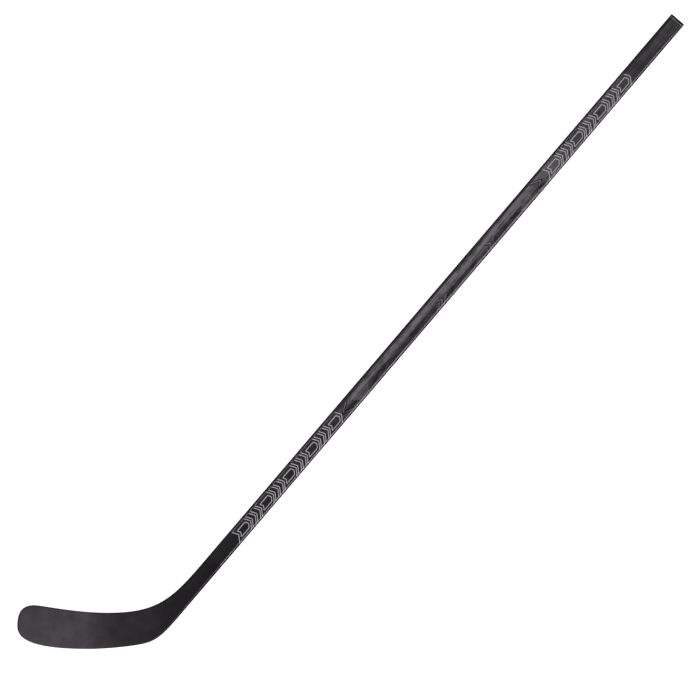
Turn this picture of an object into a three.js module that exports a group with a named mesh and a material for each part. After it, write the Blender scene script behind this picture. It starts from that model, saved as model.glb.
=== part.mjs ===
// An ice hockey stick, right-handed: a hollow composite shaft with a plug in its butt end, and a curved
// blade of two skins over a foam core, fused to the shaft by a tenon. Millimetres.
// The stick lies on its back. +X runs up the shaft from the heel to the butt, +Y is the side that the
// blade leaves on, and +Z points out of the forehand face.
// The blade is drawn as it stands on the ice, x towards the shaft and y up from the ice, in a group that
// turns it through the lie. Both sets of axes start at the corner where the shaft's lower side would
// meet the ice.

import * as THREE from "three";

const { degToRad, lerp, smoothstep } = THREE.MathUtils;

// The whole stick
const LENGTH = 1524; // heel to butt, a senior stick of 60 inches
const LIE = degToRad(49.5); // shaft above the ice
const FUSE = 200; // where the shaft ends and the hosel begins, up from the heel
const GAP = 0.3; // between pieces that are bonded on the real stick
const FUSE_BED = 1.2; // thickness of the adhesive bed between shaft and hosel, which is left open
const TOUCH = GAP / 2;

// Shaft
const SHAFT_WIDTH = 31;
const SHAFT_WALL = 1.5;
const CORNER_RADIUS = 5;
const FACE_HOLLOW = 0.5; // depth of the hollow in each wide face
const CORNER_STEPS = 4;
const FACE_STEPS = 4;
const TAPER_STEPS = 7;

// Thickness of the stick against the distance up from the heel. The blade's run is negative.
const THICKNESS = [
  [-210, 4.8],
  [-90, 6.5],
  [25, 9.5],
  [FUSE, 15],
  [600, 20.5],
  [LENGTH, 20.5],
];

// Blade outline
const TOE_REACH = -247.3;
const TOE_MIDDLE = 44; // height of the foremost point
const TOE_CREST = new THREE.Vector2(-217, 82);
const VALLEY = new THREE.Vector2(-80, 67.3); // lowest stretch of the top edge
const SOLE = new THREE.Vector2(-112, 0); // where the rockered bottom edge touches the ice
const HEEL = new THREE.Vector2(-17.7, 8.9);
const THROAT_START = 194; // up the shaft's upper side
const HEEL_START = 80; // up the shaft's lower side

// Blade curve and skins
const CURVE_START = -50;
const TOE_LIFT = 42; // how far the curve brings the toe forward
const TOE_LOFT = Math.tan(degToRad(5)); // how far open the face is at the toe
const BLADE_MIDDLE = 38; // height that the face turns about
const EDGE_RADIUS = 3;
const EDGE_FLAT = 0.5; // half the flat left on the thinnest edge
const SKIN = 1;

// Core pieces. A row is a line across the blade: 0 at the toe and 1 at the fuse line.
const TOE_ROW = 0.07;
const HEEL_ROW = 0.42;
const TENON_REACH = 60; // to each side of the fuse line
const TOW_WIDTH = 3;
const RIB_WIDTH = 2.5;
const FOAM_STOP_LENGTH = 40;

// End plug
const FLANGE = 4;
const FLANGE_FILLET = 2;
const FILLET_STEPS = 4;
const STEM = 45;
const STEM_WALL = 2.2;
const STEM_CHAMFER = 1;

// Blade mesh
const OUTLINE_STEPS = 600;
const TOE_BAND = 7; // the part of the outline this close to the foremost point closes the toe
const ROUND_STEPS = [0, 0.134, 0.5, 1]; // equal turns round an edge, in edge radii
const BLADE_ROWS = 32;
const FACE_COLUMNS = 6;

const COLOURS = {
  shaft: { color: 0x3a383a, roughness: 0.3, metalness: 0.1 },
  plug: { color: 0x242224, roughness: 0.5, metalness: 0 },
  blade: { color: 0x3c3a3d, roughness: 0.6, metalness: 0 },
  carbon: { color: 0x1c1c1e, roughness: 0.5, metalness: 0 },
  foam: { color: 0xd9d2bf, roughness: 0.95, metalness: 0 },
  dense: { color: 0xa59f92, roughness: 0.9, metalness: 0 },
};

// ---- closed bodies from rings and grids of points ----

function geometryFrom(points, faces) {
  const geometry = new THREE.BufferGeometry();
  geometry.setFromPoints(points);
  geometry.setIndex(faces);
  geometry.computeVertexNormals();
  return geometry;
}

// Faces between two loops of the same count, each starting at the given index.
function strip(from, to, count, faces) {
  for (let j = 0; j < count; j += 1) {
    const k = (j + 1) % count;
    faces.push(from + j, from + k, to + k);
    faces.push(from + j, to + k, to + j);
  }
}

// A body through a list of rings: joined up as a tube, or closed with a cap at each end.
function loft(rings, joined = false) {
  const count = rings[0].length;
  const points = rings.flat();
  const faces = [];
  for (let i = 0; i + 1 < rings.length; i += 1) {
    strip(i * count, (i + 1) * count, count, faces);
  }
  const last = (rings.length - 1) * count;
  if (joined) {
    strip(last, 0, count, faces);
    return geometryFrom(points, faces);
  }
  const start = points.push(middle(rings[0])) - 1;
  const end = points.push(middle(rings.at(-1))) - 1;
  for (let j = 0; j < count; j += 1) {
    const k = (j + 1) % count;
    faces.push(start, k, j);
    faces.push(end, last + j, last + k);
  }
  return geometryFrom(points, faces);
}

function middle(ring) {
  const sum = ring.reduce((total, point) => total.add(point), new THREE.Vector3());
  return sum.divideScalar(ring.length);
}

// The places round three sides of a grid: back along the last column, over the first row, and out along
// the first column.
function border(grid) {
  const lastRow = grid.length - 1;
  const lastColumn = grid[0].length - 1;
  const places = [];
  for (let i = lastRow; i > 0; i -= 1) {
    places.push([i, lastColumn]);
  }
  for (let j = lastColumn; j > 0; j -= 1) {
    places.push([0, j]);
  }
  for (let i = 0; i <= lastRow; i += 1) {
    places.push([i, 0]);
  }
  return places;
}

// A body between a grid of points above and one below. The rims are grids whose borders lie between
// theirs on three sides. The last row closes straight from one grid to the other.
function between(above, below, rims = []) {
  const columns = above[0].length;
  const size = above.length * columns;
  const points = [...above.flat(), ...below.flat()];
  const faces = [];
  const quad = (a, b, c, d) => faces.push(a, b, c, a, c, d);
  for (let i = 0; i + 1 < above.length; i += 1) {
    for (let j = 0; j + 1 < columns; j += 1) {
      const a = i * columns + j;
      quad(a, a + 1, a + columns + 1, a + columns);
      quad(size + a, size + a + columns, size + a + columns + 1, size + a + 1);
    }
  }
  const places = border(above);
  const edges = [places.map(([i, j]) => i * columns + j)];
  for (const rim of rims) {
    const first = points.length;
    points.push(...places.map(([i, j]) => rim[i][j]));
    edges.push(places.map((place, at) => first + at));
  }
  edges.push(places.map(([i, j]) => size + i * columns + j));
  for (let e = 0; e + 1 < edges.length; e += 1) {
    for (let j = 0; j + 1 < places.length; j += 1) {
      quad(edges[e][j], edges[e][j + 1], edges[e + 1][j + 1], edges[e + 1][j]);
    }
  }
  for (let a = size - columns; a + 1 < size; a += 1) {
    quad(a, a + 1, size + a + 1, size + a);
  }
  for (let e = 2; e < edges.length; e += 1) {
    faces.push(edges[0].at(-1), edges[e].at(-1), edges[e - 1].at(-1));
    faces.push(edges[0][0], edges[e - 1][0], edges[e][0]);
  }
  return geometryFrom(points, faces);
}

// ---- the shaft's section ----

// A smooth line through the thickness stations that never rises above or falls below them.
function thicknessAt(distance) {
  const stations = THICKNESS;
  const rise = (k) => (stations[k + 1][1] - stations[k][1]) / (stations[k + 1][0] - stations[k][0]);
  const slope = (k) => {
    if (k === 0 || k === stations.length - 1) {
      return 0;
    }
    const product = rise(k - 1) * rise(k);
    return product > 0 ? (2 * product) / (rise(k - 1) + rise(k)) : 0;
  };
  const at = THREE.MathUtils.clamp(distance, stations[0][0], stations.at(-1)[0]);
  const next = stations.findIndex(([place]) => place >= at);
  const k = Math.max(next - 1, 0);
  const [from, low] = stations[k];
  const [to, high] = stations[k + 1];
  const run = to - from;
  const f = (at - from) / run;
  const eased = f * f * (3 - 2 * f);
  return (
    low + (high - low) * eased + run * f * (1 - f) * (slope(k) * (1 - f) - slope(k + 1) * f)
  );
}

// Depth of a wide face's hollow, a given distance from the nearer edge.
function hollowAt(edgeDistance, width, radius) {
  const half = width / 2;
  const across = Math.max(half - edgeDistance, 0) / (half - radius);
  return across < 1 ? FACE_HOLLOW * (1 - across * across) : 0;
}

// One ring of the shaft, counterclockwise seen from the butt: a rounded rectangle with hollowed wide
// faces, drawn in from the outside by inset.
function sectionRing(x, inset = 0, along = x) {
  const thick = thicknessAt(along);
  const radius = Math.max(CORNER_RADIUS - inset, 1);
  const near = inset + radius;
  const corners = [
    [SHAFT_WIDTH - near, near, -90],
    [SHAFT_WIDTH - near, thick - near, 0],
    [near, thick - near, 90],
    [near, near, 180],
  ];
  const ring = [];
  const faceRun = SHAFT_WIDTH - 2 * near;
  corners.forEach(([y, z, start], side) => {
    for (let step = 0; step <= CORNER_STEPS; step += 1) {
      const turn = degToRad(start + (90 * step) / CORNER_STEPS);
      ring.push(new THREE.Vector3(x, y + radius * Math.cos(turn), z + radius * Math.sin(turn)));
    }
    const wide = side === 1 || side === 3;
    for (let step = 1; wide && step < FACE_STEPS; step += 1) {
      const travel = (faceRun * step) / FACE_STEPS;
      const hollow = hollowAt(near + Math.min(travel, faceRun - travel), SHAFT_WIDTH, near);
      const forehand = side === 1;
      const faceY = forehand ? SHAFT_WIDTH - near - travel : near + travel;
      const faceZ = forehand ? thick - inset - hollow : inset + hollow;
      ring.push(new THREE.Vector3(x, faceY, faceZ));
    }
  });
  return ring;
}

function stations(from, to, steps) {
  return Array.from({ length: steps + 1 }, (_, i) => lerp(from, to, i / steps));
}

// ---- the blade's surface ----

// A point of the shaft, up from the heel and across, in the blade's axes.
function onShaft(up, across) {
  return new THREE.Vector2(up, across).rotateAround(new THREE.Vector2(), LIE);
}

// The outline of hosel and blade, from the shaft's upper side over the toe to its lower side.
function bladeOutline() {
  const path = new THREE.CurvePath();
  const toe = new THREE.Vector2(TOE_REACH, TOE_MIDDLE);
  const line = (a, b) => path.add(new THREE.LineCurve(a, b));
  const curve = (a, b, c, d) => path.add(new THREE.CubicBezierCurve(a, b, c, d));
  const beside = (point, dx, dy = 0) => new THREE.Vector2(point.x + dx, point.y + dy);
  const throat = onShaft(THROAT_START, SHAFT_WIDTH);
  line(onShaft(FUSE, SHAFT_WIDTH), throat);
  curve(throat, onShaft(97, SHAFT_WIDTH), beside(VALLEY, 94), VALLEY);
  curve(VALLEY, beside(VALLEY, -62), beside(TOE_CREST, 14), TOE_CREST);
  curve(TOE_CREST, beside(TOE_CREST, -24), beside(toe, 0, 22), toe);
  curve(toe, beside(toe, 0, -21), beside(SOLE, -118), SOLE);
  curve(SOLE, beside(SOLE, 22), beside(HEEL, -25, -5.2), HEEL);
  curve(HEEL, beside(HEEL, 27, 5.6), onShaft(33, 0), onShaft(HEEL_START, 0));
  line(onShaft(HEEL_START, 0), onShaft(FUSE, 0));
  return path;
}

const OUTLINE = bladeOutline();
const OUTLINE_POINTS = OUTLINE.getSpacedPoints(OUTLINE_STEPS);
const TOE_POINTS = OUTLINE_POINTS.map((point) => point.x < TOE_REACH + TOE_BAND);
const TOE_TOP = TOE_POINTS.indexOf(true) / OUTLINE_STEPS;
const TOE_BOTTOM = TOE_POINTS.lastIndexOf(true) / OUTLINE_STEPS;
const BLADE_RUN = (OUTLINE.getLength() * (1 - TOE_BOTTOM + TOE_TOP)) / 2; // fuse line to toe

// A point of the outline, moved into the blade by inset.
function edgePoint(fraction, inset) {
  const along = OUTLINE.getTangentAt(fraction);
  const inwards = new THREE.Vector2(-along.y, along.x);
  return OUTLINE.getPointAt(fraction).addScaledVector(inwards, inset);
}

const topEdge = (row, inset) => edgePoint(TOE_TOP * (1 - row), inset);
const bottomEdge = (row, inset) => edgePoint(lerp(TOE_BOTTOM, 1, row), inset);
const toeEdge = (across, inset) => edgePoint(lerp(TOE_TOP, TOE_BOTTOM, across), inset);

// A point of the blade at a row (0 toe, 1 fuse line) and across it (0 top edge, 1 bottom edge). The rows
// start out bulged like the toe and are straight at the fuse line.
function bladePoint(row, across, inset) {
  const rung = topEdge(row, inset).lerp(bottomEdge(row, inset), across);
  const toeChord = topEdge(0, inset).lerp(bottomEdge(0, inset), across);
  const toeBulge = toeEdge(across, inset).sub(toeChord);
  return rung.addScaledVector(toeBulge, 1 - row);
}

// Distance from a point of the blade to its outline.
function edgeDistance(point) {
  let nearest = Infinity;
  const closest = new THREE.Vector2();
  for (let i = 0; i < OUTLINE_STEPS; i += 1) {
    const from = OUTLINE_POINTS[i];
    const side = OUTLINE_POINTS[i + 1].clone().sub(from);
    const f = THREE.MathUtils.clamp(point.clone().sub(from).dot(side) / side.lengthSq(), 0, 1);
    nearest = Math.min(nearest, closest.copy(from).addScaledVector(side, f).distanceTo(point));
  }
  return nearest;
}

const distanceUp = (row) => FUSE - (1 - row) * BLADE_RUN;
const hoselShare = (row) => smoothstep(distanceUp(row), 0, FUSE);
const wallAt = (row) => lerp(SKIN, SHAFT_WALL, hoselShare(row));
const radiusAt = (row) => lerp(EDGE_RADIUS, CORNER_RADIUS, hoselShare(row));
const widthAt = (row) => topEdge(row, 0).distanceTo(bottomEdge(row, 0));

// Half the blade's thickness at a point, rounded off towards the outline.
function halfThickness(row, point) {
  const half = thicknessAt(distanceUp(row)) / 2;
  const radius = radiusAt(row);
  const upright = Math.min(radius, half - EDGE_FLAT);
  const distance = edgeDistance(point);
  const left = 1 - Math.min(distance / radius, 1);
  const hollow = hoselShare(row) * hollowAt(distance, widthAt(row), radius);
  return half - upright + upright * Math.sqrt(1 - left * left) - hollow;
}

// Height of the blade's middle surface: level at the heel, curving forward and opening to the toe.
function middleHeight(row, point) {
  const out = Math.max(CURVE_START - point.x, 0) / (CURVE_START - TOE_REACH);
  const lift = TOE_LIFT - TOE_LOFT * (point.y - BLADE_MIDDLE);
  return thicknessAt(distanceUp(row)) / 2 + lift * out * out;
}

// The rows between two places along the blade, closer together where the toe is rounded.
function rowsBetween(from, to) {
  const toe = ROUND_STEPS.map((step) => (step * EDGE_RADIUS) / BLADE_RUN);
  const rest = stations(toe.at(-1), 1, BLADE_ROWS).slice(1);
  const inside = [...toe, ...rest].filter((row) => row > from && row < to);
  return [from, ...inside, to];
}

// A grid over the blade. columnsAt gives the places across each row, and heightAt the height there.
function bladeGrid(rows, insetAt, columnsAt, heightAt) {
  return rows.map((row) =>
    columnsAt(row).map((across) => {
      const point = bladePoint(row, across, insetAt(row));
      return new THREE.Vector3(point.x, point.y, heightAt(row, point));
    }),
  );
}

function skinColumns(row) {
  const edge = radiusAt(row) / widthAt(row);
  const round = ROUND_STEPS.map((step) => step * edge);
  const face = stations(edge, 1 - edge, FACE_COLUMNS).slice(1, -1);
  return [...round, ...face, ...round.map((across) => 1 - across).reverse()];
}

// ---- pieces ----

function shaftTube() {
  const from = FUSE + FUSE_BED;
  const taperEnd = 600;
  const to = LENGTH - FLANGE - GAP;
  const places = [...stations(from, taperEnd, TAPER_STEPS), to];
  const outside = places.map((x) => sectionRing(x));
  const inside = places.map((x) => sectionRing(x, SHAFT_WALL)).reverse();
  return loft([...outside, ...inside], true);
}

function endPlug() {
  const flangeStart = LENGTH - FLANGE;
  const stemEnd = flangeStart - STEM;
  const stemInset = SHAFT_WALL + GAP;
  const boreInset = stemInset + STEM_WALL;
  const rings = [
    sectionRing(flangeStart, boreInset),
    sectionRing(stemEnd, boreInset),
    sectionRing(stemEnd, stemInset + STEM_CHAMFER),
    sectionRing(stemEnd + STEM_CHAMFER, stemInset),
    sectionRing(flangeStart, stemInset),
    sectionRing(flangeStart, 0),
  ];
  for (let step = 0; step <= FILLET_STEPS; step += 1) {
    const turn = (Math.PI / 2) * (step / FILLET_STEPS);
    const x = LENGTH - FLANGE_FILLET * (1 - Math.sin(turn));
    rings.push(sectionRing(x, FLANGE_FILLET * (1 - Math.cos(turn))));
  }
  return loft(rings);
}

// A solid bar inside the tube, from one place to another.
function innerBar(from, to, steps) {
  const inset = SHAFT_WALL + GAP;
  return loft(stations(from, to, steps).map((x) => sectionRing(x, inset)));
}

// One skin of the blade: side 1 is the forehand, and -1 the backhand.
function bladeSkin(side) {
  const rows = rowsBetween(0, 1);
  const flush = () => 0;
  const outer = (row, point) => middleHeight(row, point) + side * halfThickness(row, point);
  const inner = (row, point) => outer(row, point) - side * wallAt(row);
  const parting = (row, point) => middleHeight(row, point) + side * TOUCH;
  const face = bladeGrid(rows, flush, skinColumns, outer);
  const rim = bladeGrid(rows, flush, skinColumns, parting);
  const innerRim = bladeGrid(rows, wallAt, skinColumns, parting);
  const cavity = bladeGrid(rows, wallAt, skinColumns, inner);
  return side > 0
    ? between(face, cavity, [rim, innerRim])
    : between(cavity, face, [innerRim, rim]);
}

const coreInset = (row) => wallAt(row) + GAP;

// The places across a row for a core piece that runs along the blade. Each side is given as a share of
// the row and the millimetres beyond it.
function bandColumns(from, to, steps) {
  return (row) => {
    const width = widthAt(row) - 2 * coreInset(row);
    const [start, end] = [from, to].map(([share, beyond]) => share + beyond / width);
    return stations(start, end, steps);
  };
}

// A core piece that fills the cavity, less the gap, between two rows.
function corePiece(fromRow, toRow, columnsAt = skinColumns) {
  const rows = rowsBetween(fromRow, toRow);
  const half = (row, point) => halfThickness(row, point) - coreInset(row);
  const above = (row, point) => middleHeight(row, point) + half(row, point);
  const below = (row, point) => middleHeight(row, point) - half(row, point);
  return between(
    bladeGrid(rows, coreInset, columnsAt, above),
    bladeGrid(rows, coreInset, columnsAt, below),
  );
}

function bladeCores() {
  const rowGap = GAP / BLADE_RUN;
  const shorterEdge = OUTLINE.getLength() * TOE_TOP;
  const tenonEnd = 1 - (TENON_REACH + GAP) / shorterEdge;
  const ribSide = RIB_WIDTH / 2;
  const foamSide = ribSide + GAP;
  const along = (columnsAt) => corePiece(TOE_ROW, HEEL_ROW, columnsAt);
  return {
    toe_insert: corePiece(0, TOE_ROW - rowGap),
    top_edge_tow: along(bandColumns([0, 0], [0, TOW_WIDTH], 2)),
    upper_foam: along(bandColumns([0, TOW_WIDTH + GAP], [0.5, -foamSide], 3)),
    core_rib: along(bandColumns([0.5, -ribSide], [0.5, ribSide], 1)),
    lower_foam: along(bandColumns([0.5, foamSide], [1, -TOW_WIDTH - GAP], 3)),
    bottom_edge_tow: along(bandColumns([1, -TOW_WIDTH], [1, 0], 2)),
    heel_core: corePiece(HEEL_ROW + rowGap, tenonEnd),
  };
}

// ---- the stick ----

function named(name, geometry, finish) {
  const mesh = new THREE.Mesh(geometry, new THREE.MeshStandardMaterial(COLOURS[finish]));
  mesh.name = name;
  return mesh;
}

const CORE_FINISH = {
  toe_insert: "dense",
  top_edge_tow: "carbon",
  upper_foam: "foam",
  core_rib: "carbon",
  lower_foam: "foam",
  bottom_edge_tow: "carbon",
  heel_core: "dense",
};

function buildBlade() {
  const blade = new THREE.Group();
  blade.rotation.z = -LIE;
  blade.add(named("forehand_skin", bladeSkin(1), "blade"));
  blade.add(named("backhand_skin", bladeSkin(-1), "blade"));
  for (const [name, geometry] of Object.entries(bladeCores())) {
    blade.add(named(name, geometry, CORE_FINISH[name]));
  }
  return blade;
}

function buildShaft() {
  const shaft = new THREE.Group();
  const tenonEnd = FUSE + TENON_REACH;
  const foamStart = tenonEnd + GAP;
  shaft.add(named("shaft_tube", shaftTube(), "shaft"));
  shaft.add(named("tenon", innerBar(FUSE - TENON_REACH, tenonEnd, 4), "carbon"));
  shaft.add(named("foam_stop", innerBar(foamStart, foamStart + FOAM_STOP_LENGTH, 1), "foam"));
  shaft.add(named("end_plug", endPlug(), "plug"));
  return shaft;
}

// The whole stick, moved so that the middle of its underside is at the origin.
function buildStick() {
  const stick = new THREE.Group();
  stick.add(buildShaft(), buildBlade());
  stick.updateMatrixWorld(true);
  const box = new THREE.Box3().setFromObject(stick, true);
  const centre = box.getCenter(new THREE.Vector3());
  stick.position.set(-centre.x, -centre.y, -box.min.z);
  return stick;
}

export default buildStick();
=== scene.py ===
"""An ice hockey stick of lacquered carbon, lying on its back under soft studio light.

Everything is worked out in millimetres from the corner where the shaft's lower side would meet the ice:
x runs up the shaft, y across it towards the blade's side, and z out of the forehand face. Blade points
are drawn as the blade stands on the ice and then turned through the lie. put() brings a finished piece
into the frame, in metres.
"""

import math

import bpy
import numpy as np
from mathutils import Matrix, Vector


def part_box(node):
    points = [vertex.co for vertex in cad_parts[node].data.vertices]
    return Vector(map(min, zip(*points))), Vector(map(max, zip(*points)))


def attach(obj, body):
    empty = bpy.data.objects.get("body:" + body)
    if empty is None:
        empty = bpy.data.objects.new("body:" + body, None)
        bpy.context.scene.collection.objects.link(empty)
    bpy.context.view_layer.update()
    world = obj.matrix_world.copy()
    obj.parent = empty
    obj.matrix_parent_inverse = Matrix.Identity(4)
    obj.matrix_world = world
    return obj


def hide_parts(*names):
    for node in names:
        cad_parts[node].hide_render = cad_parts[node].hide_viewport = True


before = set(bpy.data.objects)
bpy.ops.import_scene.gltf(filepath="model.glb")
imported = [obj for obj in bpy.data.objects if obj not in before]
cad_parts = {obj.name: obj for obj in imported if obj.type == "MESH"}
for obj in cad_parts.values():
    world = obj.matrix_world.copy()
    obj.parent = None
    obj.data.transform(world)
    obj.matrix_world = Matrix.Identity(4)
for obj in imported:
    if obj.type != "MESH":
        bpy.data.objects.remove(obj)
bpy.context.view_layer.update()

MM = 0.001

# ---- the stick's own sizes ----

LENGTH = 1524.0  # heel to butt
LIE = math.radians(49.5)  # shaft above the ice
FUSE = 200.0  # where the hosel becomes the shaft
CORNER_RADIUS = 5.0
FACE_HOLLOW = 0.5
SHAFT_WALL = 1.5
TAPER_END = 600.0  # from here up, the shaft keeps one section
DEPTH = 20.5
# thickness of the stick, a distance up from the heel; the blade lies at negative distances
THICKNESS = np.array(
    [(-210, 4.8), (-90, 6.5), (25, 9.5), (FUSE, 15), (TAPER_END, DEPTH), (LENGTH, DEPTH)]
)

BUTT = np.array(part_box("end_plug")[1]) / MM
SHAFT_LOW = np.array(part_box("shaft_tube")[0]) / MM
SHAFT_HIGH = np.array(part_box("shaft_tube")[1]) / MM
SHAFT_WIDTH = SHAFT_HIGH[1] - SHAFT_LOW[1]
HEEL_CORNER = np.array([BUTT[0] - LENGTH, SHAFT_LOW[1], SHAFT_LOW[2]])
TUBE_END = SHAFT_HIGH[0] - HEEL_CORNER[0]
PLUG_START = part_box("end_plug")[0].x / MM - HEEL_CORNER[0]

TOE = np.array([-247.3, 44.0])  # foremost point
TOE_CREST = np.array([-217.0, 82.0])
VALLEY = np.array([-80.0, 67.3])
SOLE = np.array([-112.0, 0.0])
HEEL = np.array([-17.7, 8.9])
TOE_BAND = 7.0  # the toe's row of points spans this much of it

CURVE_START = -50.0  # where the blade starts to curve forward
TOE_LIFT = 42.0
TOE_LOFT = math.tan(math.radians(5))
BLADE_MIDDLE = 38.0  # height about which the face opens
EDGE_RADIUS = 3.0
EDGE_FLAT = 0.5
SKIN = 1.0


# ---- closed bodies from rings and grids of points ----


def put(name, points, faces, finishes, finish_of=None, crease=32):
    """Makes a mesh of points in millimetres, in place in the frame, and gives it its finishes."""
    mesh = bpy.data.meshes.new(name)
    mesh.from_pydata(((points + HEEL_CORNER) * MM).tolist(), [], faces)
    for finish in finishes:
        mesh.materials.append(finish)
    if finish_of is not None:
        mesh.polygons.foreach_set("material_index", finish_of)
    mesh.shade_smooth()
    mesh.set_sharp_from_angle(angle=math.radians(crease))
    mesh.validate()
    piece = bpy.data.objects.new(name, mesh)
    bpy.context.scene.collection.objects.link(piece)
    return piece


def loft(rings, joined=False):
    """Points and faces through rings of the same count: joined up as a tube, or capped at both ends."""
    rings = np.asarray(rings)
    turns, count = rings.shape[:2]
    spot = np.arange(count)
    ahead = (spot + 1) % count
    faces = []
    for i in range(turns if joined else turns - 1):
        near, far = i * count, (i + 1) % turns * count
        faces += np.stack([near + spot, near + ahead, far + ahead, far + spot], 1).tolist()
    if not joined:
        faces.append(spot[::-1].tolist())
        faces.append((spot + (turns - 1) * count).tolist())
    return rings.reshape(-1, 3), faces


def around(rows, columns):
    """The places round three sides of a grid, from the end of its last column to that of its first."""
    back = [(i, columns - 1) for i in range(rows - 1, 0, -1)]
    over = [(0, j) for j in range(columns - 1, 0, -1)]
    out = [(i, 0) for i in range(rows)]
    return np.array(back + over + out)


def between(above, below, rims=()):
    """Points and faces of the body between two grids, with rims between their borders on three sides."""
    rows, columns = above.shape[:2]
    size = rows * columns
    cell = (np.arange(rows - 1)[:, None] * columns + np.arange(columns - 1)).ravel()
    upper = np.stack([cell, cell + 1, cell + columns + 1, cell + columns], 1)
    lower = size + np.stack([cell, cell + columns, cell + columns + 1, cell + 1], 1)
    faces = upper.tolist() + lower.tolist()
    places = around(rows, columns)
    flat = places[:, 0] * columns + places[:, 1]
    points = [above.reshape(-1, 3), below.reshape(-1, 3)]
    edges = [flat]
    for n, rim in enumerate(rims):
        points.append(rim[places[:, 0], places[:, 1]])
        edges.append(2 * size + n * len(places) + np.arange(len(places)))
    edges.append(size + flat)
    for one, two in zip(edges, edges[1:]):
        faces += np.stack([one[:-1], one[1:], two[1:], two[:-1]], 1).tolist()
    last = np.arange(size - columns, size - 1)
    faces += np.stack([last, last + 1, size + last + 1, size + last], 1).tolist()
    if rims:
        faces.append([int(edge[-1]) for edge in [edges[0], *edges[:0:-1]]])
        faces.append([int(edge[0]) for edge in edges])
    return np.concatenate(points), faces


# ---- the stick's surfaces ----


def thickness_at(distance):
    """Thickness of the stick, a distance up from the heel, on a smooth line through THICKNESS."""
    at, thick = THICKNESS.T
    rise = np.diff(thick) / np.diff(at)
    product = rise[:-1] * rise[1:]
    slope = np.zeros(len(at))
    slope[1:-1] = np.where(product > 0, 2 * product / (rise[:-1] + rise[1:] + 1e-12), 0)
    place = np.clip(distance, at[0], at[-1])
    k = np.clip(np.searchsorted(at, place) - 1, 0, len(at) - 2)
    run = at[k + 1] - at[k]
    f = (place - at[k]) / run
    eased = f * f * (3 - 2 * f)
    bow = run * f * (1 - f) * (slope[k] * (1 - f) - slope[k + 1] * f)
    return thick[k] + (thick[k + 1] - thick[k]) * eased + bow


def hollow_at(from_middle, width, radius):
    """Depth of a wide face's hollow, a distance from its middle."""
    across = np.abs(from_middle) / (width / 2 - radius)
    return FACE_HOLLOW * np.clip(1 - across**2, 0, None)


def section_ring(x, inset=0.0, corner_steps=10, face_steps=20):
    """One ring of the shaft at x, drawn in from the outside by inset, counterclockwise from the butt."""
    thick = float(thickness_at(x))
    radius = max(CORNER_RADIUS - inset, 1.0)
    near = inset + radius
    far = SHAFT_WIDTH - near
    travel = np.linspace(0, far - near, face_steps + 1)[1:-1]
    hollow = hollow_at(near + travel - SHAFT_WIDTH / 2, SHAFT_WIDTH, near)
    ring = []
    for side, (y, z) in enumerate([(far, near), (far, thick - near), (near, thick - near), (near, near)]):
        turn = np.radians(np.linspace(0, 90, corner_steps + 1) + 90 * (side - 1))
        ring.append(np.stack([y + radius * np.cos(turn), z + radius * np.sin(turn)], 1))
        if side == 1:
            ring.append(np.stack([far - travel, thick - inset - hollow], 1))
        if side == 3:
            ring.append(np.stack([near + travel, inset + hollow], 1))
    ring = np.concatenate(ring)
    return np.column_stack([np.full(len(ring), x), ring])


def on_shaft(up, across):
    """A point of the shaft in the blade's own axes."""
    c, s = math.cos(LIE), math.sin(LIE)
    return np.array([up * c - across * s, up * s + across * c])


def blade_outline(steps=160):
    """The outline over the toe from the shaft's upper side to its lower side: points and directions."""
    throat, heel_start = on_shaft(194, SHAFT_WIDTH), on_shaft(80, 0)
    upper_fuse, lower_fuse = on_shaft(FUSE, SHAFT_WIDTH), on_shaft(FUSE, 0)
    # smooth curves, end to end: each has a start, two points that pull it, and an end
    curves = [
        (upper_fuse, upper_fuse * 2 / 3 + throat / 3, upper_fuse / 3 + throat * 2 / 3, throat),
        (throat, on_shaft(97, SHAFT_WIDTH), VALLEY + (94, 0), VALLEY),
        (VALLEY, VALLEY - (62, 0), TOE_CREST + (14, 0), TOE_CREST),
        (TOE_CREST, TOE_CREST - (24, 0), TOE + (0, 22), TOE),
        (TOE, TOE - (0, 21), SOLE - (118, 0), SOLE),
        (SOLE, SOLE + (22, 0), HEEL - (25, 5.2), HEEL),
        (HEEL, HEEL + (27, 5.6), on_shaft(33, 0), heel_start),
        (heel_start, heel_start * 2 / 3 + lower_fuse / 3, heel_start / 3 + lower_fuse * 2 / 3, lower_fuse),
    ]
    t = np.linspace(0, 1, steps + 1)[:, None]
    points, directions = [], []
    for a, b, c, d in curves:
        curve = (1 - t) ** 3 * a + 3 * (1 - t) ** 2 * t * b + 3 * (1 - t) * t**2 * c + t**3 * d
        points.append(curve[:-1])
        pull = (1 - t) ** 2 * (b - a) + 2 * (1 - t) * t * (c - b) + t**2 * (d - c)
        directions.append((pull / np.linalg.norm(pull, axis=1, keepdims=True))[:-1])
    points.append(lower_fuse[None])
    directions.append(directions[-1][-1:])
    return np.concatenate(points), np.concatenate(directions)


OUTLINE, DIRECTIONS = blade_outline()
OUTLINE_RUN = np.concatenate([[0], np.cumsum(np.linalg.norm(np.diff(OUTLINE, axis=0), axis=1))])
TOE_PLACES = OUTLINE_RUN[OUTLINE[:, 0] < TOE[0] + TOE_BAND] / OUTLINE_RUN[-1]
TOE_TOP, TOE_BOTTOM = TOE_PLACES[0], TOE_PLACES[-1]
BLADE_RUN = OUTLINE_RUN[-1] * (1 - TOE_BOTTOM + TOE_TOP) / 2


def edge_point(share, inset):
    """Points of the outline at shares of its length, moved into the blade by inset."""
    run = np.asarray(share) * OUTLINE_RUN[-1]
    point, along = (
        np.stack([np.interp(run, OUTLINE_RUN, line[:, axis]) for axis in (0, 1)], -1)
        for line in (OUTLINE, DIRECTIONS)
    )
    inwards = np.stack([-along[..., 1], along[..., 0]], -1)
    return point + inwards * np.asarray(inset)[..., None]


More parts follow.
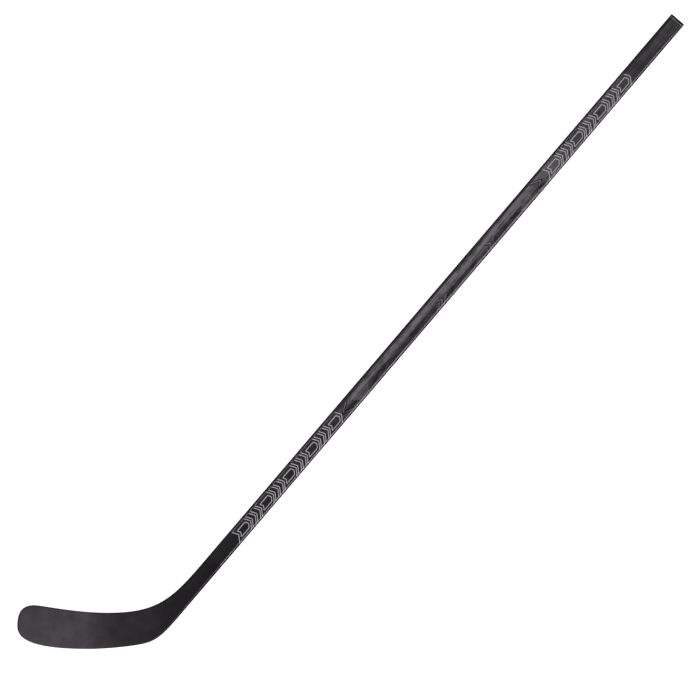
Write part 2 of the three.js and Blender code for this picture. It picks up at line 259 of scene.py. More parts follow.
def blade_point(row, across, inset):
    """Points of the blade at rows (0 toe, 1 fuse line) and across them (0 top edge, 1 bottom edge)."""
    row, across, inset = np.broadcast_arrays(row, across, inset)
    share = across[..., None]

    def rung(at):
        top = edge_point(TOE_TOP * (1 - at), inset)
        bottom = edge_point(TOE_BOTTOM + (1 - TOE_BOTTOM) * at, inset)
        return top + (bottom - top) * share

    toe = edge_point(TOE_TOP + (TOE_BOTTOM - TOE_TOP) * across, inset)
    return rung(row) + (toe - rung(np.zeros(row.shape))) * (1 - row)[..., None]


def edge_distance(points):
    """Distance from each point to the blade's outline."""
    flat = points.reshape(-1, 2)
    start, side = OUTLINE[:-1], np.diff(OUTLINE, axis=0)
    length = (side**2).sum(1)
    nearest, batch = [], 2000
    for some in np.array_split(flat, max(len(flat) // batch, 1)):
        out = some[:, None] - start
        f = np.clip((out * side).sum(2) / length, 0, 1)
        nearest.append(np.linalg.norm(out - f[..., None] * side, axis=2).min(1))
    return np.concatenate(nearest).reshape(points.shape[:-1])


def hosel_share(row):
    """How far a row is from blade (0) to shaft (1)."""
    f = np.clip((FUSE - (1 - row) * BLADE_RUN) / FUSE, 0, 1)
    return f * f * (3 - 2 * f)


def wall_at(row):
    return SKIN + (SHAFT_WALL - SKIN) * hosel_share(row)


def radius_at(row):
    return EDGE_RADIUS + (CORNER_RADIUS - EDGE_RADIUS) * hosel_share(row)


def width_at(row):
    return np.linalg.norm(blade_point(row, 0.0, 0.0) - blade_point(row, 1.0, 0.0), axis=-1)


def middle_height(row, points):
    """Height of the blade's middle surface, which curves forward and opens towards the toe."""
    out = np.clip(CURVE_START - points[..., 0], 0, None) / (CURVE_START - TOE[0])
    lift = TOE_LIFT - TOE_LOFT * (points[..., 1] - BLADE_MIDDLE)
    return thickness_at(FUSE - (1 - row) * BLADE_RUN) / 2 + lift * out**2


def half_thickness(row, across, points):
    """Half the blade's thickness, rounded off towards the outline."""
    half = thickness_at(FUSE - (1 - row) * BLADE_RUN) / 2
    radius = radius_at(row)
    upright = np.minimum(radius, half - EDGE_FLAT)
    left = 1 - np.clip(edge_distance(points) / radius, 0, 1)
    width = width_at(row)
    hollow = hosel_share(row) * hollow_at((across - 0.5) * width, width, radius)
    return half - upright + upright * np.sqrt(1 - left**2) - hollow


def blade_grid(rows, across, inset, height):
    """Grid points over the blade, turned from standing on the ice to lie along the shaft."""
    row = np.broadcast_to(rows[:, None], across.shape)
    points = blade_point(row, across, np.broadcast_to(np.asarray(inset)[..., None], across.shape))
    z = height(row, across, points)
    c, s = math.cos(LIE), math.sin(LIE)
    x, y = points[..., 0], points[..., 1]
    return np.stack([x * c + y * s, y * c - x * s, z], -1)


# ---- finishes ----


def linear(colour):
    """An sRGB hex colour as the linear red, green, blue and alpha that a shader takes."""
    parts = [int(colour[i : i + 2], 16) / 255 for i in (1, 3, 5)]
    return (*(c / 12.92 if c <= 0.04045 else ((c + 0.055) / 1.055) ** 2.4 for c in parts), 1.0)


def add(tree, kind, values=None, links=None, **settings):
    """Adds a node with its settings, its sockets' values, and the outputs linked into its sockets."""
    made = tree.nodes.new("ShaderNode" + kind)
    for name, value in settings.items():
        setattr(made, name, value)
    for socket, value in (values or {}).items():
        made.inputs[socket].default_value = value
    for socket, source in (links or {}).items():
        tree.links.new(source, made.inputs[socket])
    return made


def shade_ramp(node, stops):
    """Sets a colour ramp's stops, each a place and either a grey level or an sRGB hex colour."""
    marks = node.color_ramp.elements
    while len(marks) < len(stops):
        marks.new(0.5)
    for mark, (at, shade) in zip(marks, stops):
        mark.position = at
        mark.color = linear(shade) if isinstance(shade, str) else (shade, shade, shade, 1.0)


def start_finish(name, values):
    """A new finish: its material, its node tree, its shader and the piece's own coordinates in metres."""
    finish = bpy.data.materials.new(name)
    finish.use_nodes = True
    tree = finish.node_tree
    shader = tree.nodes["Principled BSDF"]
    for socket, value in values.items():
        shader.inputs[socket].default_value = value
    place = add(tree, "TexCoord").outputs["Object"]
    return finish, tree, shader, place


def satin_lacquered_carbon():
    """Shaft: satin lacquer over long carbon tows, with a metallic graphite tint sprayed under it.

    To the eye it is near black at the hosel, charcoal at the butt and silvery between the marks, where
    the hollow of the face catches the light and the tows show as fine streaks that run along it.
    """
    finish, tree, shader, place = start_finish(
        "satin_lacquered_carbon",
        {"IOR": 1.5, "Coat Weight": 0.9, "Coat IOR": 1.6, "Coat Roughness": 0.2},
    )
    heel = HEEL_CORNER * MM
    along = add(tree, "SeparateXYZ", links={"Vector": place}).outputs
    up = add(
        tree,
        "MapRange",
        {"From Min": heel[0], "From Max": heel[0] + LENGTH * MM},
        {"Value": along["X"]},
    )
    across = add(
        tree,
        "MapRange",
        {"From Min": heel[1], "From Max": heel[1] + SHAFT_WIDTH * MM},
        {"Value": along["Y"]},
    )
    # the tint starts above the lower mark, is heaviest between the marks and thins out to the butt
    tint = add(tree, "ValToRGB", links={"Fac": up.outputs["Result"]})
    shade_ramp(
        tint,
        [
            (0.0, 0.0),
            (0.2, 0.0),
            (0.35, 0.12),
            (0.39, 0.8),
            (0.6, 1.0),
            (0.745, 0.9),
            (0.79, 0.47),
            (0.93, 0.33),
        ],
    )
    # painted sheen and shade: the tint lies thickest just above the middle of the face and is raised near
    # the lower corner, painting in the sheen and a highlight there, and the upper corner is masked off
    # from it, painting that corner dark as shade
    painted_sheen_mask = add(tree, "ValToRGB", links={"Fac": across.outputs["Result"]})
    shade_ramp(
        painted_sheen_mask,
        [
            (0.08, 0.4),
            (0.18, 0.62),
            (0.5, 0.7),
            (0.62, 1.0),
            (0.7, 0.85),
            (0.79, 0.8),
            (0.86, 0.05),
        ],
    )
    # tows are 2 to 5 mm wide once spread, and their edges wander every 70 to 170 mm along them
    wide = add(tree, "Mapping", {"Scale": (6.0, 200.0, 200.0)}, {"Vector": place})
    fine = add(tree, "Mapping", {"Scale": (14.0, 420.0, 420.0)}, {"Vector": place})
    wide = add(tree, "TexNoise", {"Scale": 1.0, "Detail": 2.0}, {"Vector": wide.outputs["Vector"]})
    fine = add(tree, "TexNoise", {"Scale": 1.0, "Detail": 2.0}, {"Vector": fine.outputs["Vector"]})
    tows = add(tree, "Math", links={0: wide.outputs["Fac"], 1: fine.outputs["Fac"]}, operation="ADD")
    # the spray itself lies in clouds 10 to 20 mm across
    spray = add(tree, "TexNoise", {"Scale": 65.0, "Detail": 3.0, "Roughness": 0.6}, {"Vector": place})
    uneven = add(tree, "Math", links={0: tows.outputs["Value"], 1: spray.outputs["Fac"]}, operation="ADD")
    streak_shade = add(
        tree,
        "MapRange",
        {"From Min": 1.25, "From Max": 1.75, "To Min": 0.3, "To Max": 1.45},
        {"Value": uneven.outputs["Value"]},
    )
    even = add(
        tree,
        "Math",
        links={0: tint.outputs["Color"], 1: painted_sheen_mask.outputs["Color"]},
        operation="MULTIPLY",
    )
    amount = add(
        tree,
        "Math",
        links={0: even.outputs["Value"], 1: streak_shade.outputs["Result"]},
        operation="MULTIPLY",
        use_clamp=True,
    )
    colour = add(
        tree,
        "Mix",
        {"A": linear("#232124"), "B": linear("#9d999e")},
        {"Factor": amount.outputs["Value"]},
        data_type="RGBA",
    )
    tree.links.new(colour.outputs["Result"], shader.inputs["Base Color"])
    flake = add(tree, "Math", {1: 0.6}, {0: amount.outputs["Value"]}, operation="MULTIPLY")
    tree.links.new(flake.outputs["Value"], shader.inputs["Metallic"])
    # flake under the lacquer scatters its shine
    rough = add(tree, "MapRange", {"To Min": 0.3, "To Max": 0.5}, {"Value": amount.outputs["Value"]})
    tree.links.new(rough.outputs["Result"], shader.inputs["Roughness"])
    # sprayed lacquer has an orange peel of about 1.5 mm
    peel = add(tree, "TexNoise", {"Scale": 650.0, "Detail": 1.0}, {"Vector": place})
    bump = add(tree, "Bump", {"Strength": 0.1, "Distance": 0.00006}, {"Height": peel.outputs["Fac"]})
    tree.links.new(bump.outputs["Normal"], shader.inputs["Normal"])
    return finish


def matt_blade_lacquer():
    """Blade and hosel: matt charcoal lacquer over woven carbon, from a blasted mould.

    To the eye it is soft and cloudy, paler towards the toe and the middle of the blade and darker towards
    the heel as painted light and shade, near black at the hosel, with the weave only just showing through.
    """
    finish, tree, shader, place = start_finish("matt_blade_lacquer", {"IOR": 1.5})
    # turned to stand on the ice, with the heel corner at nothing
    c, s = math.cos(LIE), math.sin(LIE)
    heel = HEEL_CORNER * MM
    back = (s * heel[1] - c * heel[0], -s * heel[0] - c * heel[1], 0.0)
    standing = add(
        tree,
        "Mapping",
        {"Rotation": (0.0, 0.0, LIE), "Location": back},
        {"Vector": place},
    )
    along = add(tree, "SeparateXYZ", links={"Vector": standing.outputs["Vector"]}).outputs["X"]
    # from the toe to the top of the hosel
    hosel_top = 110 * MM
    reach = add(tree, "MapRange", {"From Min": TOE[0] * MM, "From Max": hosel_top}, {"Value": along})
    # painted light and shade: paler towards the toe and the middle of the blade, darker towards the heel
    # and near black at the hosel
    painted_light_tone = add(tree, "ValToRGB", links={"Fac": reach.outputs["Result"]})
    shade_ramp(
        painted_light_tone,
        [
            (0.0, "#433f44"),
            (0.2, "#524e53"),
            (0.34, "#585358"),
            (0.48, "#3e3a3f"),
            (0.66, "#373438"),
            (0.8, "#292629"),
            (1.0, "#222023"),
        ],
    )
    # handling and release agent leave clouds about 25 mm across
    clouds = add(tree, "TexNoise", {"Scale": 42.0, "Detail": 3.0, "Roughness": 0.55}, {"Vector": place})
    cloud_shade = add(tree, "ValToRGB", links={"Fac": clouds.outputs["Fac"]})
    shade_ramp(cloud_shade, [(0.35, 0.36), (0.65, 0.62)])
    cloudy = add(
        tree,
        "Mix",
        {"Factor": 0.8},
        {"A": painted_light_tone.outputs["Color"], "B": cloud_shade.outputs["Color"]},
        data_type="RGBA",
        blend_type="OVERLAY",
    )
    # plain weave: tows 2 mm wide laid at 45 degrees to the blade
    laid = add(
        tree,
        "Mapping",
        {"Rotation": (0.0, 0.0, math.radians(45)), "Scale": (500.0, 500.0, 500.0)},
        {"Vector": standing.outputs["Vector"]},
    )
    weave = add(tree, "TexChecker", {"Scale": 1.0}, {"Vector": laid.outputs["Vector"]})
    woven = add(
        tree,
        "Mix",
        {"Factor": 0.05},
        {"A": cloudy.outputs["Result"], "B": weave.outputs["Color"]},
        data_type="RGBA",
        blend_type="SOFT_LIGHT",
    )
    tree.links.new(woven.outputs["Result"], shader.inputs["Base Color"])
    # the lacquer is satin at the hosel and matt on the blade
    rough = add(
        tree,
        "MapRange",
        {"From Min": 0.45, "From Max": 1.0, "To Min": 0.5, "To Max": 0.34},
        {"Value": reach.outputs["Result"]},
    )
    tree.links.new(rough.outputs["Result"], shader.inputs["Roughness"])
    grain = add(tree, "TexNoise", {"Scale": 2600.0, "Detail": 2.0}, {"Vector": place})
    bump = add(tree, "Bump", {"Strength": 0.2, "Distance": 0.00008}, {"Height": grain.outputs["Fac"]})
    tree.links.new(bump.outputs["Normal"], shader.inputs["Normal"])
    return finish


def moulded_polymer():
    """End plug: black polypropylene from a spark-eroded mould. Dull, with a fine even grain."""
    finish, tree, shader, place = start_finish("moulded_polypropylene", {"IOR": 1.49, "Roughness": 0.5})
    grain = add(tree, "TexNoise", {"Scale": 1400.0, "Detail": 2.0}, {"Vector": place})
    colour = add(
        tree,
        "Mix",
        {"A": linear("#1d1b1e"), "B": linear("#2b292c")},
        {"Factor": grain.outputs["Fac"]},
        data_type="RGBA",
    )
    tree.links.new(colour.outputs["Result"], shader.inputs["Base Color"])
    bump = add(
        tree,
        "Bump",
        {"Strength": 0.35, "Distance": 0.0001},
        {"Height": grain.outputs["Fac"]},
    )
    tree.links.new(bump.outputs["Normal"], shader.inputs["Normal"])
    return finish


def bare_laminate():
    """Unpainted carbon laminate: the inside of the tube, tenon, rib and tows.

    To the eye it is black with a slight shine and fine streaks along the fibres.
    """
    finish, tree, shader, place = start_finish("bare_carbon_laminate", {"IOR": 1.5, "Roughness": 0.42})
    fibres = add(tree, "Mapping", {"Scale": (20.0, 3000.0, 3000.0)}, {"Vector": place})
    streaks = add(tree, "TexNoise", {"Scale": 1.0, "Detail": 3.0}, {"Vector": fibres.outputs["Vector"]})
    colour = add(
        tree,
        "Mix",
        {"A": linear("#151517"), "B": linear("#333336")},
        {"Factor": streaks.outputs["Fac"]},
        data_type="RGBA",
    )
    tree.links.new(colour.outputs["Result"], shader.inputs["Base Color"])
    bump = add(
        tree,
        "Bump",
        {"Strength": 0.3, "Distance": 0.0001},
        {"Height": streaks.outputs["Fac"]},
    )
    tree.links.new(bump.outputs["Normal"], shader.inputs["Normal"])
    return finish


def sanded_laminate_painted_highlight():
    """The tube's cut end: carbon laminate sanded dull, coloured pale as a painted highlight along the cut.
    """
    finish, tree, shader, place = start_finish("sanded_carbon_painted_highlight", {"IOR": 1.5, "Roughness": 0.65})
    scratches = add(tree, "TexNoise", {"Scale": 4000.0, "Detail": 2.0}, {"Vector": place})
    colour = add(tree, "ValToRGB", links={"Fac": scratches.outputs["Fac"]})
    # pale grey: a painted highlight along the tube's cut end
    shade_ramp(colour, [(0.3, "#a09da1"), (0.7, "#c8c5c9")])
    tree.links.new(colour.outputs["Color"], shader.inputs["Base Color"])
    return finish


def core_foam(name, pale, dark, cell_mm):
    """Structural foam, cut: a pale matt mass of closed cells, each a small pit."""
    finish, tree, shader, place = start_finish(name, {"IOR": 1.45, "Roughness": 0.95})
    cells = add(tree, "TexVoronoi", {"Scale": 1000.0 / cell_mm}, {"Vector": place})
    colour = add(
        tree,
        "Mix",
        {"A": linear(dark), "B": linear(pale)},
        {"Factor": cells.outputs["Distance"]},
        data_type="RGBA",
    )
    tree.links.new(colour.outputs["Result"], shader.inputs["Base Color"])
    bump = add(
        tree,
        "Bump",
        {"Strength": 0.6, "Distance": cell_mm * MM / 3},
        {"Height": cells.outputs["Distance"]},
    )
    tree.links.new(bump.outputs["Normal"], shader.inputs["Normal"])
    return finish


def silver_print():
    """Marks: satin silver screen print, a thin layer of aluminium flake in clear binder."""
    finish, tree, shader, place = start_finish("silver_screen_print", {"IOR": 1.5, "Metallic": 0.2})
    flake = add(tree, "TexNoise", {"Scale": 3000.0, "Detail": 2.0}, {"Vector": place})
    colour = add(tree, "ValToRGB", links={"Fac": flake.outputs["Fac"]})
    shade_ramp(colour, [(0.3, "#dddce0"), (0.7, "#f4f3f6")])
    tree.links.new(colour.outputs["Color"], shader.inputs["Base Color"])
    rough = add(tree, "MapRange", {"To Min": 0.4, "To Max": 0.6}, {"Value": flake.outputs["Fac"]})
    tree.links.new(rough.outputs["Result"], shader.inputs["Roughness"])
    return finish


def tonal_print():
    """Darts: black ink under satin lacquer, cloudy where the graphite round it shows through."""
    finish, tree, shader, place = start_finish("tonal_black_print", {"IOR": 1.5, "Roughness": 0.42})
    # patches of the ink are 10 to 20 mm long
    clouds = add(tree, "Mapping", {"Scale": (60.0, 160.0, 160.0)}, {"Vector": place})
    patches = add(tree, "TexNoise", {"Scale": 1.0, "Detail": 3.0}, {"Vector": clouds.outputs["Vector"]})
    colour = add(tree, "ValToRGB", links={"Fac": patches.outputs["Fac"]})
    shade_ramp(colour, [(0.4, "#2c2a2d"), (0.62, "#4f4c50")])
    tree.links.new(colour.outputs["Color"], shader.inputs["Base Color"])
    return finish


def graphite_print():
    """Chevrons: fine graphite-coloured ink, paler than the darts that it crosses."""
    finish, tree, shader, place = start_finish("graphite_print", {"IOR": 1.5, "Roughness": 0.42})
    flake = add(tree, "TexNoise", {"Scale": 2500.0, "Detail": 2.0}, {"Vector": place})
    colour = add(tree, "ValToRGB", links={"Fac": flake.outputs["Fac"]})
    shade_ramp(colour, [(0.3, "#8f8c90"), (0.7, "#aaa7ab")])
    tree.links.new(colour.outputs["Color"], shader.inputs["Base Color"])
    return finish


SHAFT_FINISH = satin_lacquered_carbon()
BLADE_FINISH = matt_blade_lacquer()
PLUG_FINISH = moulded_polymer()
LAMINATE = bare_laminate()
SANDED_HIGHLIGHT = sanded_laminate_painted_highlight()
SILVER = silver_print()
TONAL = tonal_print()
GRAPHITE = graphite_print()


# ---- shaft, plug and blade ----


def fit(piece, body, slot, *nodes):
    """Puts a finished piece on its body, in place of the nodes that it stands for."""
    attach(piece, body)
    if nodes:
        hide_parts(*nodes)


def mould_shaft():
    """The tube: lacquered outside, bare laminate inside, and sanded where its cut end is bevelled, with a
    painted highlight on the bevel.
    """
    bevel, bevel_depth = 1.3, 0.5
    tapered = np.linspace(FUSE, TAPER_END, 41)
    straight = np.linspace(TAPER_END, TUBE_END - bevel, 12)
    places = np.concatenate([tapered, straight[1:]])
    outside = [*(section_ring(x) for x in places), section_ring(TUBE_END, bevel_depth)]
    inside = [section_ring(TUBE_END, SHAFT_WALL), *(section_ring(x, SHAFT_WALL) for x in places[::-1])]
    points, faces = loft([*outside, *inside], joined=True)
    ring = len(outside[0])
    painted, sanded = (len(places) - 1) * ring, 2 * ring
    finish_of = [0] * painted + [1] * sanded + [2] * (len(faces) - painted - sanded)
    tube = put("shaft", points, faces, [SHAFT_FINISH, SANDED_HIGHLIGHT, LAMINATE], finish_of)
    fit(tube, "stick", "shaft_lacquer", "shaft_tube")


def mould_end_plug():
    """The plug: a filleted flange that matches the shaft, and a hollow grooved stem."""
    flange_thickness, fillet, edge_break = 4.0, 2.0, 0.25
    clearance, stem_wall, chamfer = 0.3, 2.2, 1.0
    lip_height, lip_length = 0.4, 0.6  # of the bore's mouth, which is a little narrower
    flange = LENGTH - flange_thickness
    stem_inset = SHAFT_WALL + clearance
    bore_inset = stem_inset + stem_wall
    rings = [
        section_ring(flange, bore_inset),
        section_ring(PLUG_START + lip_length, bore_inset),
        section_ring(PLUG_START, bore_inset + lip_height),
        section_ring(PLUG_START, stem_inset + chamfer),
        section_ring(PLUG_START + chamfer, stem_inset),
    ]
    grooves, groove_depth, groove_width, groove_slope = 3, 0.7, 3.0, 0.7
    first_groove, last_groove = PLUG_START + 9, flange - 10
    for start in np.linspace(first_groove, last_groove, grooves):
        rings.append(section_ring(start, stem_inset))
        rings.append(section_ring(start + groove_slope, stem_inset + groove_depth))
        rings.append(section_ring(start + groove_width - groove_slope, stem_inset + groove_depth))
        rings.append(section_ring(start + groove_width, stem_inset))
    rings.append(section_ring(flange, stem_inset))
    rings.append(section_ring(flange, edge_break))
    rings.append(section_ring(flange + edge_break, 0.0))
    for turn in np.radians(np.linspace(0, 90, 9)):
        x = LENGTH - fillet * (1 - math.sin(turn))
        rings.append(section_ring(x, fillet * (1 - math.cos(turn))))
    points, faces = loft(rings)
    plug = put("end_plug_moulding", points, faces, [PLUG_FINISH])
    fit(plug, "plug", "plug_polymer", "end_plug")


def mould_blade_skin(name, side, node):
    """One skin of blade and hosel: side 1 is the forehand, and -1 the backhand."""
    rounding = 1 - np.cos(np.linspace(0, math.pi / 2, 9))  # closer rows and columns at the rounded edges
    toe = rounding * EDGE_RADIUS / BLADE_RUN
    rows = np.concatenate([toe, np.linspace(toe[-1], 1, 200)[1:]])
    edge = (radius_at(rows) / width_at(rows))[:, None]
    face = edge + (1 - 2 * edge) * np.linspace(0, 1, 34)[1:-1]
    across = np.concatenate([edge * rounding, face, 1 - (edge * rounding)[:, ::-1]], axis=1)
    wall = wall_at(rows)
    flush = np.zeros(len(rows))

    def outer(row, share, points):
        return middle_height(row, points) + side * half_thickness(row, share, points)

    def inner(row, share, points):
        return outer(row, share, points) - side * wall_at(row)

    def parting(row, share, points):
        return middle_height(row, points)

    shown = blade_grid(rows, across, flush, outer)
    rim = blade_grid(rows, across, flush, parting)
    inner_rim = blade_grid(rows, across, wall, parting)
    cavity = blade_grid(rows, across, wall, inner)
    layers = (shown, cavity, [rim, inner_rim]) if side > 0 else (cavity, shown, [inner_rim, rim])
    points, faces = between(*layers)
    skin = put(name, points, faces, [BLADE_FINISH])
    fit(skin, "stick", "blade_lacquer", node)


def finish_inner_pieces():
    """The pieces inside the blade and the tube keep the shape they come with, and get their materials."""
    soft = core_foam("closed_cell_foam", pale="#e6dec9", dark="#b9ab8c", cell_mm=0.8)
    dense = core_foam("glass_filled_epoxy_foam", pale="#b7b0a2", dark="#857d6f", cell_mm=0.3)
    kinds = {
        soft: ["foam_stop", "upper_foam", "lower_foam"],
        dense: ["heel_core", "toe_insert"],
        LAMINATE: ["tenon", "core_rib", "top_edge_tow", "bottom_edge_tow"],
    }
    for finish, nodes in kinds.items():
        for node in nodes:
            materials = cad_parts[node].data.materials
            materials.clear()
            materials.append(finish)


# ---- printed marks ----

PRINT = 0.03  # thickness of the silver ink
THIN_PRINT = PRINT * 0.6  # thickness of the dark and graphite inks
ARROW = math.tan(math.radians(34))  # how far the arms of an arrow end lean
ITALIC = math.tan(math.radians(14))  # how far the whole print leans up the shaft
MARK_LOW, MARK_HIGH = 1.9, 26.6  # across the face: on the lower corner, and where the upper one starts
FACE_EDGE = 0.3  # no print comes nearer to the narrow sides


def on_face(side, flat, lift):
    """Points of a wide face from distances up and across, lifted off it along its normal."""
    up, across = flat[..., 0], np.clip(flat[..., 1], FACE_EDGE, SHAFT_WIDTH - FACE_EDGE)

    def height(y):
        into_corner = np.clip(CORNER_RADIUS - np.minimum(y, SHAFT_WIDTH - y), 0, None)
        drop = CORNER_RADIUS - np.sqrt(CORNER_RADIUS**2 - into_corner**2)
        return -drop - hollow_at(y - SHAFT_WIDTH / 2, SHAFT_WIDTH, CORNER_RADIUS)

    step = 0.01
    slope = (height(across + step) - height(across - step)) / (2 * step)
    normal_z = 1 / np.sqrt(1 + slope**2)
    y = across - slope * normal_z * lift
    z = thickness_at(up) + height(across) + normal_z * lift
    return np.stack([up, y, z if side > 0 else thickness_at(up) - z], -1)


def rounded(corners, radius, spacing=1.0):
    """A closed path through corners, each rounded off, with a point every spacing or so."""
    corners = np.asarray(corners, float)
    path = []
    for before, corner, after in zip(np.roll(corners, 1, 0), corners, np.roll(corners, -1, 0)):
        into, out = (before - corner), (after - corner)
        # a rounding takes less than half of each side, so that two never meet
        reach = min(radius, np.linalg.norm(into) / 2.2, np.linalg.norm(out) / 2.2)
        start = corner + into / np.linalg.norm(into) * reach
        end = corner + out / np.linalg.norm(out) * reach
        t = np.linspace(0, 1, 6)[:, None]
        path.append((1 - t) ** 2 * start + 2 * (1 - t) * t * corner + t**2 * end)
    path = np.concatenate(path)
    run = np.concatenate([[0], np.cumsum(np.linalg.norm(np.diff(path, axis=0, append=path[:1]), axis=1))])
    even = np.linspace(0, run[-1], max(int(run[-1] / spacing), 12), endpoint=False)
    closed = np.concatenate([path, path[:1]])
    return np.stack([np.interp(even, run, closed[:, axis]) for axis in (0, 1)], 1)


def line_print(side, path, width):
    """Points and faces of a closed printed line along a path on a wide face."""
    ahead, behind = np.roll(path, -1, 0), np.roll(path, 1, 0)
    along = ahead - behind
    along /= np.linalg.norm(along, axis=1, keepdims=True)
    out = np.stack([along[:, 1], -along[:, 0]], 1) * width / 2
    # a ring of four points at each place, top left, top right and the two sunk below them
    lanes = [(path - out, PRINT), (path + out, PRINT), (path + out, -PRINT), (path - out, -PRINT)]
    rings = np.stack([on_face(side, flat, lift) for flat, lift in lanes], 1)
    return loft(rings if side > 0 else rings[:, ::-1], joined=True)


def gather(pieces):
    """Joins lists of points and faces into one."""
    points, faces, first = [], [], 0
    for some, its_faces in pieces:
        points.append(some)
        faces += [[first + i for i in face] for face in its_faces]
        first += len(some)
    return np.concatenate(points), faces


def arrow_bar(start, length, low, high):
    """Corners of a bar of the print between two heights, with both ends on the arrow's line."""
    middle = (MARK_LOW + MARK_HIGH) / 2

    def line(y):
        return start + ARROW * (MARK_HIGH - middle - abs(y - middle)) + ITALIC * (y - MARK_LOW)

    near = [(line(y), y) for y in (low, middle, high)]
    return [(x + length, y) for x, y in near] + near[::-1]


def print_mark(name, start, end, shares):
    """A row of outlined arrows between two places, on both wide faces. A long one holds a smaller one."""
    gap, line_width, inset, rounding = 4.8, 1.6, 5.8, 0.8
    lean = (ARROW + ITALIC) * (MARK_HIGH - MARK_LOW) / 2
    room = end - start - lean - gap * (len(shares) - 1)
    lengths = room * np.array(shares) / sum(shares)
    lines, at = [], start
    for length in lengths:
        arrows = [arrow_bar(at, length, MARK_LOW, MARK_HIGH)]
        if length > 3 * inset:
            arrows.append(arrow_bar(at + inset, length - 2 * inset, MARK_LOW + inset, MARK_HIGH - inset))
        for arrow in arrows:
            path = rounded(arrow, rounding)
            lines += [line_print(side, path, line_width) for side in (1, -1)]
        at += length + gap
    points, faces = gather(lines)
    fit(put(name, points, faces, [SILVER]), "stick", "silver_print")


def filled_print(side, stations, low, high, columns=8):
    """Points and faces of a printed patch between two lines across, given at stations up the shaft."""
    share = np.linspace(0, 1, columns)
    across = np.asarray(low)[:, None] * (1 - share) + np.asarray(high)[:, None] * share
    up = np.broadcast_to(np.asarray(stations)[:, None], across.shape)
    flat = np.stack([up, across], -1)
    top, sunk = on_face(side, flat, THIN_PRINT), on_face(side, flat, -PRINT)
    grids = (top[:, ::-1], sunk[:, ::-1]) if side > 0 else (sunk[:, ::-1], top[:, ::-1])
    return between(*grids)


def dart(start, end, low, high, blunt=0.7):
    """A long patch with a ragged upper edge and a slanting start, which tapers past its blunt share."""
    start_length = 9.0
    f = np.linspace(0, 1, 90)
    up = start + (end - start) * f
    narrow = (high - low) * np.clip((f - blunt) / (1 - blunt), 0, 1)
    slant = (high - low) * np.clip(1 - abs(up - start) / start_length, 0, 1)
    # the edge is frayed in waves of several lengths, which die out towards the tip
    ragged = 0.9 * np.abs(np.sin(up / 5.1)) * np.sin(up / 17.0) + 0.5 * np.sin(up / 31.0)
    return up, low + narrow * 0.85, high - slant - narrow * 0.1 + ragged * (1 - f**4)


def arm(tip, reach, across, spread, width):
    """One arm of a chevron: a slanting band."""
    f = np.linspace(0, 1, 12)
    middle = across + spread * f
    return tip + reach * f, middle - width / 2, middle + width / 2


def print_patches(name, patches, finish):
    """Prints patches on both wide faces, as one piece."""
    made = []
    for stations, low, high in patches:
        if stations[0] > stations[-1]:
            stations, low, high = stations[::-1], low[::-1], high[::-1]
        made += [filled_print(side, stations, low, high) for side in (1, -1)]
    points, faces = gather(made)
    fit(put(name, points, faces, [finish]), "stick", "shaft_lacquer")


def print_tonal_pattern():
    """Dark darts down the lower side of the face, between the marks, with pairs of pale chevrons."""
    # each from its start to its tip, between two places across, and blunt over a share of its length
    darts = [
        dart(604, 546, 5.0, 14.0, 0.1),
        dart(628, 838, 5.0, 14.4, 0.92),
        dart(850, 948, 5.0, 12.2, 0.8),
        dart(986, 1074, 5.0, 13.2, 0.86),
        dart(1138, 1094, 5.0, 11.5, 0.3),
    ]
    print_patches("tonal_darts", darts, TONAL)
    dark_line, pale_line, apart = 2.6, 1.1, 4.0
    dark, pale = [], []
    for tip, reach, across, spread in (
        (569, 18, 14.0, 9.0),
        (1127, -18, 15.5, 10.0),
        (841, -9, 10.5, 5.5),
        (979, -9, 10.5, 5.5),
    ):
        step = apart if reach < 0 else -apart
        for way in (spread, -spread):
            dark.append(arm(tip, reach, across, way, dark_line))
            pale.append(arm(tip + step, reach, across, way, pale_line))
            dark.append(arm(tip + 2 * step, reach, across, way, dark_line))
    print_patches("tonal_chevrons", dark, TONAL)
    print_patches("graphite_chevrons", pale, GRAPHITE)


# ---- studio ----


def lay_floor():
    """A pale sweep that glows as a light table does. Black flags hide it from the lacquer."""
    mesh = bpy.data.meshes.new("floor")
    half, below = 30.0, 0.0002
    corners = [(-half, -half, 0), (half, -half, 0), (half, half, 0), (-half, half, 0)]
    mesh.from_pydata(corners, [], [(0, 1, 2, 3)])
    paper = bpy.data.materials.new("white_paper_sweep")
    paper.use_nodes = True
    tree = paper.node_tree
    shader = tree.nodes["Principled BSDF"]
    shader.inputs["Base Color"].default_value = linear("#f4f3f4")
    shader.inputs["Roughness"].default_value = 0.9
    shader.inputs["Emission Color"].default_value = (1.0, 1.0, 1.0, 1.0)
    shader.inputs["Emission Strength"].default_value = FLOOR_GLOW
    flagged = add(tree, "BsdfDiffuse", {"Color": linear("#1c1c1c")})
    seen = add(tree, "LightPath").outputs["Is Camera Ray"]
    mix = add(tree, "MixShader", links={0: seen, 1: flagged.outputs["BSDF"], 2: shader.outputs["BSDF"]})
    tree.links.new(mix.outputs["Shader"], tree.nodes["Material Output"].inputs["Surface"])
    mesh.materials.append(paper)
    floor = bpy.data.objects.new("floor", mesh)
    bpy.context.scene.collection.objects.link(floor)
    floor.location.z = -below


def hang_light(name, tilt, distance, size, power):
    """A long soft box over the stick, tilted off vertical towards the shaft's lower side."""
    lamp = bpy.data.lights.new(name, "AREA")
    lamp.shape = "RECTANGLE"
    lamp.size, lamp.size_y = size
    lamp.energy = power
    lamp.color = STUDIO_WHITE
    box = bpy.data.objects.new(name, lamp)
    bpy.context.scene.collection.objects.link(box)
    box.location = (0.0, -distance * math.sin(tilt), distance * math.cos(tilt))
    box.rotation_euler = (tilt, 0.0, 0.0)


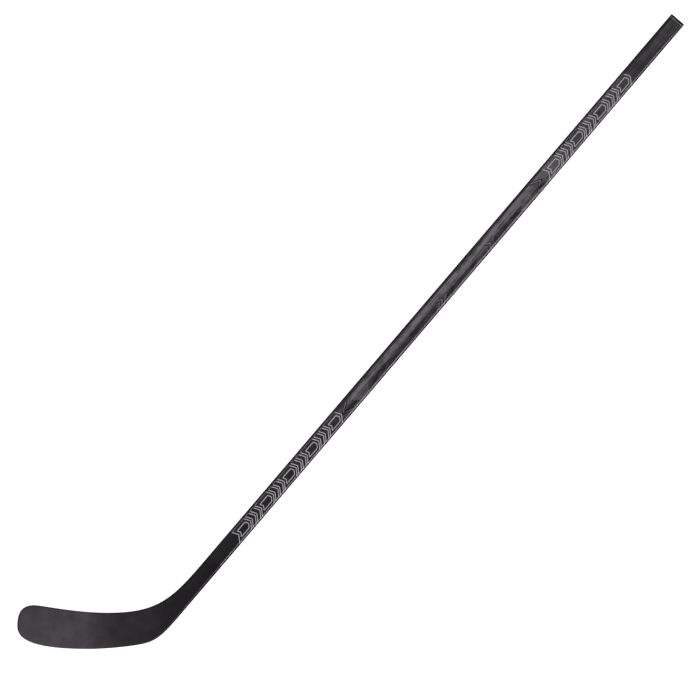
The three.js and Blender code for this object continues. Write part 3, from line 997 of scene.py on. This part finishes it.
def light_world(strength):
    """A dim room round the stick, in front of a white backdrop."""
    world = bpy.data.worlds.new("studio")
    bpy.context.scene.world = world
    world.use_nodes = True
    tree = world.node_tree
    room = tree.nodes["Background"]
    room.inputs["Color"].default_value = (*STUDIO_WHITE, 1.0)
    room.inputs["Strength"].default_value = strength
    backdrop = add(tree, "Background", {"Color": (1.0, 1.0, 1.0, 1.0), "Strength": 1.0})
    seen = add(tree, "LightPath").outputs["Is Camera Ray"]
    mix = add(
        tree,
        "MixShader",
        links={0: seen, 1: room.outputs["Background"], 2: backdrop.outputs["Background"]},
    )
    tree.links.new(mix.outputs["Shader"], tree.nodes["World Output"].inputs["Surface"])


FRAME_WIDTH = 1.2988  # what the camera takes in, in metres
FRAME_MIDDLE = (369.2, 555.2)  # from the heel corner, along the ice and up from it, in millimetres
LENS = 500.0
STUDIO_WHITE = (1.0, 0.95, 1.0)  # a touch magenta
FLOOR_GLOW = 0.96


def set_camera():
    """Looks straight down on the forehand face, turned so that the blade stands level."""
    camera = bpy.data.cameras.new("camera")
    camera.lens = LENS
    camera.sensor_width = 36.0
    camera.clip_end = 100.0
    seat = bpy.data.objects.new("camera", camera)
    bpy.context.scene.collection.objects.link(seat)
    distance = FRAME_WIDTH * LENS / camera.sensor_width
    c, s = math.cos(LIE), math.sin(LIE)
    x = (FRAME_MIDDLE[0] * c + FRAME_MIDDLE[1] * s + HEEL_CORNER[0]) * MM
    y = (FRAME_MIDDLE[1] * c - FRAME_MIDDLE[0] * s + HEEL_CORNER[1]) * MM
    seat.location = (x, y, distance + SHAFT_HIGH[2] * MM)
    seat.rotation_euler = (0.0, 0.0, -LIE)
    bpy.context.scene.camera = seat


set_camera()
mould_shaft()
mould_end_plug()
mould_blade_skin("blade_forehand", 1, "forehand_skin")
mould_blade_skin("blade_backhand", -1, "backhand_skin")
finish_inner_pieces()
print_mark("upper_mark", start=1142, end=1386, shares=3 * [4, 1, 1] + [4])
print_mark("lower_mark", start=256, end=561, shares=4 * [4, 1, 1] + [4])
print_tonal_pattern()
lay_floor()
light_world(strength=0.1)
strip = {"distance": 2.2, "size": (2.8, 0.24)}
hang_light("key_strip", tilt=math.radians(41), power=26, **strip)
hang_light("fill_strip", tilt=math.radians(-41), power=2.5, **strip)

view = bpy.context.scene.view_settings
view.view_transform = "Standard"
view.look = "None"
